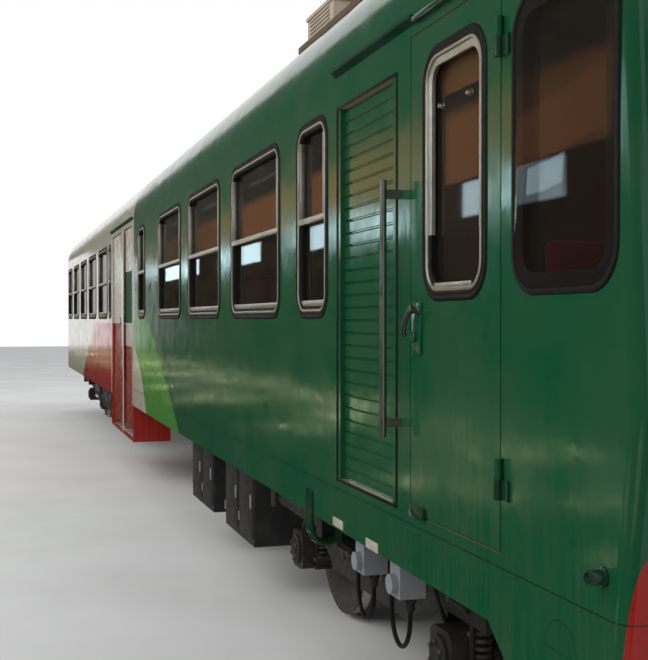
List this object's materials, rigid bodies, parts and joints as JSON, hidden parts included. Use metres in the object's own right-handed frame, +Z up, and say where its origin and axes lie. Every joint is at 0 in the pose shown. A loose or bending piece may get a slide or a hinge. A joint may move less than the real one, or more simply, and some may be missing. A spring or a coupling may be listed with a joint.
{
  "type": "railway passenger coach with driving cab",
  "caption": "Single-deck railway passenger coach with a driving cab, luggage shutters, twin side entrances and two two-axle bogies.",
  "frame": {"origin": "on the floor below the middle of the coach, level with the lowest points of the wheel flanges", "axes": "+X to the cab end, +Y to the left side, +Z up"},
  "size_m": [23.54, 3.07, 4.2445],
  "materials": {
    "body_paint": "gloss",
    "door_paint": "gloss",
    "dark_paint": "matte, dusty",
    "grey_paint": "satin",
    "buffer_steel": "greased",
    "wheel_steel": "worn",
    "rail_steel": "polished by hands",
    "frame_aluminium": "satin",
    "glazing": "clear",
    "black_rubber": "matte",
    "floor_lining": "matte",
    "inner_lining": "satin",
    "seat_cloth": "woven",
    "desk_plastic": "satin",
    "lamp_lens": "clear"
  },
  "bodies": {
    "root": {"underframe": "dark_paint", "headstocks": "dark_paint", "pivot_pins": "dark_paint", "floor": "floor_lining", "side_wall_right": "body_paint", "side_wall_left": "body_paint", "roof": "body_paint", "rain_gutters": "body_paint", "front_wall": "body_paint", "rear_wall": "body_paint", "front_apron": "body_paint", "partitions": "inner_lining", "seat_cushions": "seat_cloth", "seat_backs": "seat_cloth", "luggage_racks": "rail_steel", "window_frames": "frame_aluminium", "window_glass": "glazing", "end_screens": "glazing", "cab_desk": "desk_plastic", "cab_seats": "seat_cloth", "luggage_shutters": "body_paint", "connector_boxes": "grey_paint", "handrails": "rail_steel", "step_wells": "door_paint", "buffers": "buffer_steel", "drawhooks": "buffer_steel", "gangway_bellows": "black_rubber", "door_hinges": "dark_paint", "equipment_cases": "dark_paint", "air_tanks": "dark_paint", "body_dampers": "dark_paint", "roof_units": "grey_paint", "lamps": "lamp_lens"},
    "bogie_front": {"bogie_frame_front": "dark_paint", "axle_boxes_front": "dark_paint", "bolster_springs_front": "dark_paint", "brake_gear_front": "dark_paint"},
    "wheelset_front_1": {"wheelset_front_1": "wheel_steel"},
    "wheelset_front_2": {"wheelset_front_2": "wheel_steel"},
    "bogie_rear": {"bogie_frame_rear": "dark_paint", "axle_boxes_rear": "dark_paint", "bolster_springs_rear": "dark_paint", "brake_gear_rear": "dark_paint"},
    "wheelset_rear_1": {"wheelset_rear_1": "wheel_steel"},
    "wheelset_rear_2": {"wheelset_rear_2": "wheel_steel"},
    "cab_door_right": {"cab_door_right": "body_paint", "cab_door_sash_right": "frame_aluminium", "cab_door_glass_right": "glazing", "cab_door_handle_right": "rail_steel"},
    "cab_door_left": {"cab_door_left": "body_paint", "cab_door_sash_left": "frame_aluminium", "cab_door_glass_left": "glazing", "cab_door_handle_left": "rail_steel"},
    "entrance_leaf_right_front": {"entrance_leaf_right_front": "door_paint"},
    "entrance_leaf_right_rear": {"entrance_leaf_right_rear": "door_paint"},
    "entrance_leaf_left_front": {"entrance_leaf_left_front": "door_paint"},
    "entrance_leaf_left_rear": {"entrance_leaf_left_rear": "door_paint"},
    "gangway_door_rear": {"gangway_door_rear": "door_paint", "gangway_glass_rear": "glazing"}
  },
  "joints": [
    {"name": "bogie_pivot_front", "type": "hinge", "parent": "root", "child": "bogie_front", "pos_m": [8, 0, 0.6], "axis": [0, 0, 1], "range_deg": [-4, 4]},
    {"name": "wheelset_spin_front_1", "type": "hinge", "parent": "bogie_front", "child": "wheelset_front_1", "pos_m": [9.225, 0, 0.49], "axis": [0, 1, 0], "continuous": true},
    {"name": "wheelset_spin_front_2", "type": "hinge", "parent": "bogie_front", "child": "wheelset_front_2", "pos_m": [6.775, 0, 0.49], "axis": [0, 1, 0], "continuous": true},
    {"name": "bogie_pivot_rear", "type": "hinge", "parent": "root", "child": "bogie_rear", "pos_m": [-8, 0, 0.6], "axis": [0, 0, 1], "range_deg": [-4, 4]},
    {"name": "wheelset_spin_rear_1", "type": "hinge", "parent": "bogie_rear", "child": "wheelset_rear_1", "pos_m": [-6.775, 0, 0.49], "axis": [0, 1, 0], "continuous": true},
    {"name": "wheelset_spin_rear_2", "type": "hinge", "parent": "bogie_rear", "child": "wheelset_rear_2", "pos_m": [-9.225, 0, 0.49], "axis": [0, 1, 0], "continuous": true},
    {"name": "cab_door_hinge_right", "type": "hinge", "parent": "root", "child": "cab_door_right", "pos_m": [10.466, -1.456, 2.23], "axis": [0, 0, 1], "range_deg": [0, 95]},
    {"name": "entrance_hinge_right_front", "type": "hinge", "parent": "root", "child": "entrance_leaf_right_front", "pos_m": [0.218, -1.4, 1.93], "axis": [0, 0, 1], "range_deg": [0, 90]},
    {"name": "entrance_hinge_right_rear", "type": "hinge", "parent": "root", "child": "entrance_leaf_right_rear", "pos_m": [-1.958, -1.4, 1.93], "axis": [0, 0, -1], "range_deg": [0, 90]},
    {"name": "cab_door_hinge_left", "type": "hinge", "parent": "root", "child": "cab_door_left", "pos_m": [10.466, 1.456, 2.23], "axis": [0, 0, -1], "range_deg": [0, 95]},
    {"name": "entrance_hinge_left_front", "type": "hinge", "parent": "root", "child": "entrance_leaf_left_front", "pos_m": [0.218, 1.4, 1.93], "axis": [0, 0, -1], "range_deg": [0, 90]},
    {"name": "entrance_hinge_left_rear", "type": "hinge", "parent": "root", "child": "entrance_leaf_left_rear", "pos_m": [-1.958, 1.4, 1.93], "axis": [0, 0, 1], "range_deg": [0, 90]},
    {"name": "gangway_hinge_rear", "type": "hinge", "parent": "root", "child": "gangway_door_rear", "pos_m": [-11.2525, 0.325, 2.23], "axis": [0, 0, 1], "range_deg": [0, 90]}
  ]
}
